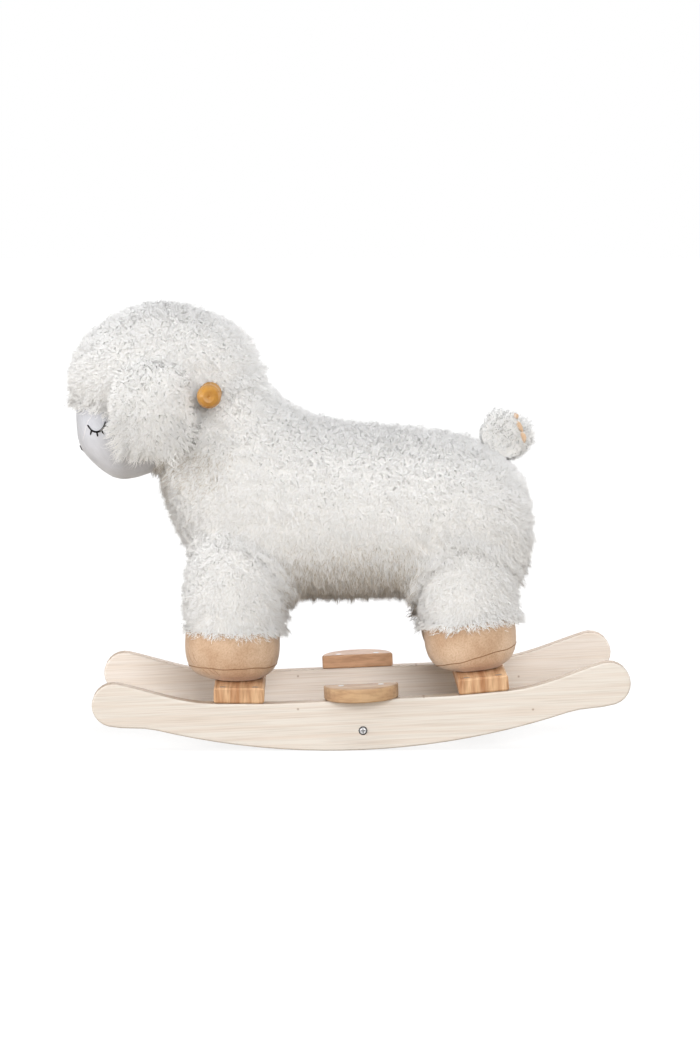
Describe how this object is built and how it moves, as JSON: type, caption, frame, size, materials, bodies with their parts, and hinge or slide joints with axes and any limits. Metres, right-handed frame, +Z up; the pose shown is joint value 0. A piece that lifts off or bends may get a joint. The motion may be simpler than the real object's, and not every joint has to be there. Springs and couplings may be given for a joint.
{
  "type": "rocking sheep",
  "caption": "Ride-on rocking sheep: a stuffed fleece body with hanging ears over a wooden frame, on curved wooden rockers with footrests, held by a turned handle through the neck",
  "frame": {"origin": "on the floor under the middle of the bounding box, with the sheep at rest, tipped 2.4 degrees nose-down", "axes": "+X runs from the nose to the tail along the rockers, so the sheep faces -X; +Y is the sheep's right; +Z is up"},
  "size_m": [0.6484, 0.31, 0.5083],
  "materials": {
    "rocker_wood": "pale sanded softwood, clear matt varnish",
    "bar_wood": "tan hardwood with end grain, clear varnish",
    "footrest_wood": "brown hardwood, clear varnish",
    "frame_wood": "plain planed wood inside the toy",
    "handle_wood": "turned, golden lacquer",
    "steel": "zinc-plated fasteners",
    "fleece": "white long-pile fleece over stuffing",
    "velboa": "smooth pale grey short-pile cloth",
    "suede": "tan suede cloth over stuffing",
    "foam": "upholstery foam inside the toy"
  },
  "bodies": {
    "sheep_on_rockers": {"rocker_left": "rocker_wood", "rocker_right": "rocker_wood", "cross_bar_front": "bar_wood", "cross_bar_rear": "bar_wood", "bar_screw_front_left_1": "steel", "bar_screw_front_left_2": "steel", "bar_screw_front_right_1": "steel", "bar_screw_front_right_2": "steel", "bar_screw_rear_left_1": "steel", "bar_screw_rear_left_2": "steel", "bar_screw_rear_right_1": "steel", "bar_screw_rear_right_2": "steel", "footrest_left": "footrest_wood", "footrest_right": "footrest_wood", "footrest_screw_left_1": "steel", "footrest_screw_left_2": "steel", "footrest_screw_right_1": "steel", "footrest_screw_right_2": "steel", "centre_stretcher": "frame_wood", "stretcher_bolt_left": "steel", "stretcher_bolt_right": "steel", "barrel_nut_left": "steel", "barrel_nut_right": "steel", "leg_post_front_left": "frame_wood", "leg_post_front_right": "frame_wood", "leg_post_rear_left": "frame_wood", "leg_post_rear_right": "frame_wood", "leg_bolt_front_left": "steel", "leg_bolt_front_right": "steel", "leg_bolt_rear_left": "steel", "leg_bolt_rear_right": "steel", "seat_board": "frame_wood", "seat_screw_front_left": "steel", "seat_screw_front_right": "steel", "seat_screw_rear_left": "steel", "seat_screw_rear_right": "steel", "seat_foam": "foam", "neck_post": "frame_wood", "neck_screw_1": "steel", "neck_screw_2": "steel", "handle_rod": "handle_wood", "rod_screw": "steel", "handle_grip_left": "handle_wood", "handle_grip_right": "handle_wood", "torso": "fleece", "head": "fleece", "face": "velboa", "leg_cover_front_left": "fleece", "leg_cover_front_right": "fleece", "leg_cover_rear_left": "fleece", "leg_cover_rear_right": "fleece", "foot_front_left": "suede", "foot_front_right": "suede", "foot_rear_left": "suede", "foot_rear_right": "suede"},
    "ear_left": {"ear_left": "fleece"},
    "ear_right": {"ear_right": "fleece"},
    "tail": {"tail": "fleece"}
  },
  "joints": [
    {"name": "ear_left_lift", "type": "hinge", "parent": "sheep_on_rockers", "child": "ear_left", "pos_m": [-0.22737, -0.0868, 0.43732], "axis": [-0.9991, 0, -0.0419], "range_deg": [0, 90]},
    {"name": "ear_right_lift", "type": "hinge", "parent": "sheep_on_rockers", "child": "ear_right", "pos_m": [-0.22737, 0.0868, 0.43732], "axis": [0.9991, 0, 0.0419], "range_deg": [0, 90]},
    {"name": "tail_wag", "type": "hinge", "parent": "sheep_on_rockers", "child": "tail", "pos_m": [0.17531, 0, 0.33409], "axis": [0.8517, 0, -0.524], "range_deg": [-35, 35], "stiffness_Nm_per_rad": 0.05}
  ]
}
